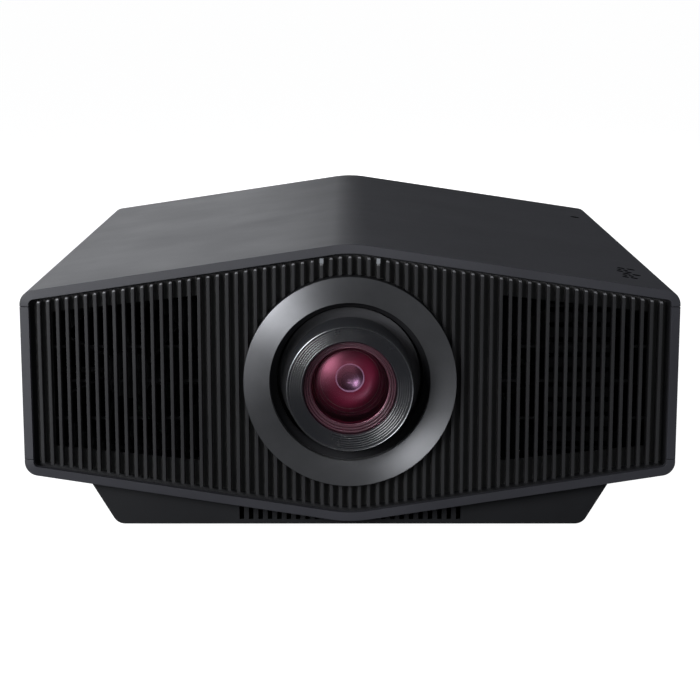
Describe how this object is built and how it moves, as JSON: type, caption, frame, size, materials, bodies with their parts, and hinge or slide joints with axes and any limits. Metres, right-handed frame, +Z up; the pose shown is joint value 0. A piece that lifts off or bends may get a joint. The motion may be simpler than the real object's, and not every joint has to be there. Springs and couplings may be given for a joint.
{
  "type": "home projector",
  "caption": "Wide black home projector with a six-sided section, a slatted front, a large ring round a shifting zoom lens, and a recessed base on levelling feet.",
  "frame": {"origin": "on the surface it stands on, at the middle of its width and of its overall length", "axes": "-Y out of the lens, +Z up, +X on the right of a person facing the lens"},
  "size_m": [0.46, 0.5436, 0.211],
  "materials": {
    "housing_plastic": "satin black paint over plastic with a fine grain",
    "grille_plastic": "matt black moulding",
    "ring_metal": "dark satin metal",
    "lens_black": "matt black with fine grooves",
    "coated_glass": "polished, magenta anti-reflection coating",
    "inner_glass": "polished glass in black cells",
    "indicator": "clear light pipe",
    "button_plastic": "fine grain",
    "rubber": "matt",
    "steel": "zinc plated",
    "anodised_black": "black anodised",
    "aluminium": "cast and machined",
    "socket_plastic": "moulded",
    "motor_metal": "satin",
    "gear_plastic": "acetal",
    "laser_copper": "machined copper",
    "optics": "polished prism",
    "phosphor": "phosphor layer on a disc",
    "fan_plastic": "moulded",
    "board": "circuit board",
    "filter": "pleated filter paper"
  },
  "bodies": {
    "housing": {"top_cover": "housing_plastic", "side_panel_left": "housing_plastic", "side_panel_right": "housing_plastic", "bottom_cover": "housing_plastic", "base_plinth": "housing_plastic", "rear_panel": "housing_plastic", "control_panel": "housing_plastic", "front_grille": "grille_plastic", "lens_recess_cup": "grille_plastic", "exhaust_mesh": "grille_plastic", "lens_ring": "ring_metal", "indicator_windows": "indicator", "rear_feet": "rubber", "housing_screws": "steel", "vertical_guide_rods": "steel", "connector_plate": "steel", "chassis_tray": "steel", "hdmi_ports": "steel", "usb_port": "steel", "serial_port": "steel", "lens_mount_frame": "anodised_black", "optical_bench": "aluminium", "laser_heat_sink": "aluminium", "lan_port": "socket_plastic", "jack_sockets": "socket_plastic", "ac_inlet": "socket_plastic", "vertical_shift_motor": "motor_metal", "phosphor_motor": "motor_metal", "laser_module": "laser_copper", "prism_block": "optics", "fan_frames": "fan_plastic", "power_supply": "board", "main_board": "board", "air_filters": "filter"},
    "vertical_carriage": {"vertical_carriage": "anodised_black", "horizontal_shift_motor": "motor_metal"},
    "lens": {"horizontal_carriage": "anodised_black", "lens_barrel": "lens_black", "front_glass": "coated_glass", "lens_drive_motors": "motor_metal"},
    "vertical_lead_screw": {"vertical_lead_screw": "steel"},
    "horizontal_lead_screw": {"horizontal_lead_screw": "steel"},
    "zoom_ring": {"zoom_ring": "gear_plastic"},
    "focus_ring": {"focus_ring": "gear_plastic"},
    "zoom_group": {"zoom_group": "inner_glass"},
    "focus_group": {"focus_group": "inner_glass"},
    "zoom_pinion": {"zoom_pinion": "steel"},
    "focus_pinion": {"focus_pinion": "steel"},
    "phosphor_wheel": {"phosphor_wheel": "phosphor"},
    "fan_rotor_left": {"fan_rotor_left": "fan_plastic"},
    "fan_rotor_right": {"fan_rotor_right": "fan_plastic"},
    "power_button": {"power_button": "button_plastic"},
    "input_button": {"input_button": "button_plastic"},
    "menu_button": {"menu_button": "button_plastic"},
    "joystick_gimbal": {"joystick_gimbal": "button_plastic"},
    "joystick_cap": {"joystick_cap": "button_plastic"},
    "front_foot_pad_left": {"front_foot_pad_left": "rubber"},
    "front_foot_pad_right": {"front_foot_pad_right": "rubber"},
    "front_foot_screw_left": {"front_foot_screw_left": "steel"},
    "front_foot_screw_right": {"front_foot_screw_right": "steel"}
  },
  "joints": [
    {"name": "lens_shift_vertical", "type": "slide", "parent": "housing", "child": "vertical_carriage", "axis": [0, 0, 1], "range_m": [-0.006, 0.006]},
    {"name": "lens_shift_horizontal", "type": "slide", "parent": "vertical_carriage", "child": "lens", "axis": [1, 0, 0], "range_m": [-0.0049, 0.0049]},
    {"name": "vertical_screw_turn", "type": "hinge", "parent": "housing", "child": "vertical_lead_screw", "pos_m": [-0.1, -0.18475, 0.1], "axis": [0, 0, 1], "range_deg": [-1081, 1081]},
    {"name": "horizontal_screw_turn", "type": "hinge", "parent": "vertical_carriage", "child": "horizontal_lead_screw", "pos_m": [0, -0.19425, 0.0462], "axis": [1, 0, 0], "range_deg": [-883, 883]},
    {"name": "zoom_ring_turn", "type": "hinge", "parent": "lens", "child": "zoom_ring", "pos_m": [0, -0.15525, 0.1142], "axis": [0, 1, 0], "range_deg": [-35, 35]},
    {"name": "focus_ring_turn", "type": "hinge", "parent": "lens", "child": "focus_ring", "pos_m": [0, -0.12725, 0.1142], "axis": [0, 1, 0], "range_deg": [-60, 60]},
    {"name": "zoom_group_travel", "type": "slide", "parent": "lens", "child": "zoom_group", "axis": [0, 1, 0], "range_m": [-0.0081, 0.0081]},
    {"name": "focus_group_travel", "type": "slide", "parent": "lens", "child": "focus_group", "axis": [0, 1, 0], "range_m": [-0.0041, 0.0041]},
    {"name": "zoom_pinion_turn", "type": "hinge", "parent": "lens", "child": "zoom_pinion", "pos_m": [0.03818, -0.15525, 0.15238], "axis": [0, 1, 0], "range_deg": [-281, 281]},
    {"name": "focus_pinion_turn", "type": "hinge", "parent": "lens", "child": "focus_pinion", "pos_m": [-0.03818, -0.12725, 0.15238], "axis": [0, 1, 0], "range_deg": [-481, 481]},
    {"name": "phosphor_wheel_spin", "type": "hinge", "parent": "housing", "child": "phosphor_wheel", "pos_m": [0.04075, 0.06075, 0.1182], "axis": [1, 0, 0], "continuous": true},
    {"name": "left_fan_spin", "type": "hinge", "parent": "housing", "child": "fan_rotor_left", "pos_m": [-0.159, -0.20525, 0.113], "axis": [0, 1, 0], "continuous": true},
    {"name": "right_fan_spin", "type": "hinge", "parent": "housing", "child": "fan_rotor_right", "pos_m": [0.159, -0.20525, 0.113], "axis": [0, 1, 0], "continuous": true},
    {"name": "power_button_press", "type": "slide", "parent": "housing", "child": "power_button", "axis": [-1, 0, 0], "range_m": [0, 0.001], "stiffness_N_per_m": 600},
    {"name": "input_button_press", "type": "slide", "parent": "housing", "child": "input_button", "axis": [-1, 0, 0], "range_m": [0, 0.001], "stiffness_N_per_m": 600},
    {"name": "menu_button_press", "type": "slide", "parent": "housing", "child": "menu_button", "axis": [-1, 0, 0], "range_m": [0, 0.001], "stiffness_N_per_m": 600},
    {"name": "joystick_sideways", "type": "hinge", "parent": "housing", "child": "joystick_gimbal", "pos_m": [0.222, -0.15725, 0.138], "axis": [0, 0, 1], "range_deg": [-9, 9], "stiffness_Nm_per_rad": 0.02},
    {"name": "joystick_up_down", "type": "hinge", "parent": "joystick_gimbal", "child": "joystick_cap", "pos_m": [0.222, -0.15725, 0.138], "axis": [0, 1, 0], "range_deg": [-9, 9], "stiffness_Nm_per_rad": 0.02},
    {"name": "left_foot_travel", "type": "slide", "parent": "housing", "child": "front_foot_pad_left", "axis": [0, 0, -1], "range_m": [0, 0.00801]},
    {"name": "left_foot_turn", "type": "hinge", "parent": "front_foot_pad_left", "child": "front_foot_screw_left", "pos_m": [-0.14, -0.17925, 0.006], "axis": [0, 0, -1], "range_deg": [0, 1920]},
    {"name": "right_foot_travel", "type": "slide", "parent": "housing", "child": "front_foot_pad_right", "axis": [0, 0, -1], "range_m": [0, 0.00801]},
    {"name": "right_foot_turn", "type": "hinge", "parent": "front_foot_pad_right", "child": "front_foot_screw_right", "pos_m": [0.14, -0.17925, 0.006], "axis": [0, 0, -1], "range_deg": [0, 1920]}
  ],
  "couplings": [
    {"joint": "vertical_screw_turn", "follows": "lens_shift_vertical", "rad_per_m": -3141.6},
    {"joint": "horizontal_screw_turn", "follows": "lens_shift_horizontal", "rad_per_m": -3141.6},
    {"joint": "zoom_group_travel", "follows": "zoom_ring_turn", "m_per_rad": 0.013096},
    {"joint": "focus_group_travel", "follows": "focus_ring_turn", "m_per_rad": 0.0038197},
    {"joint": "zoom_pinion_turn", "follows": "zoom_ring_turn", "ratio": -8},
    {"joint": "focus_pinion_turn", "follows": "focus_ring_turn", "ratio": -8},
    {"joint": "left_foot_travel", "follows": "left_foot_turn", "m_per_rad": 0.00023873},
    {"joint": "right_foot_travel", "follows": "right_foot_turn", "m_per_rad": 0.00023873}
  ]
}
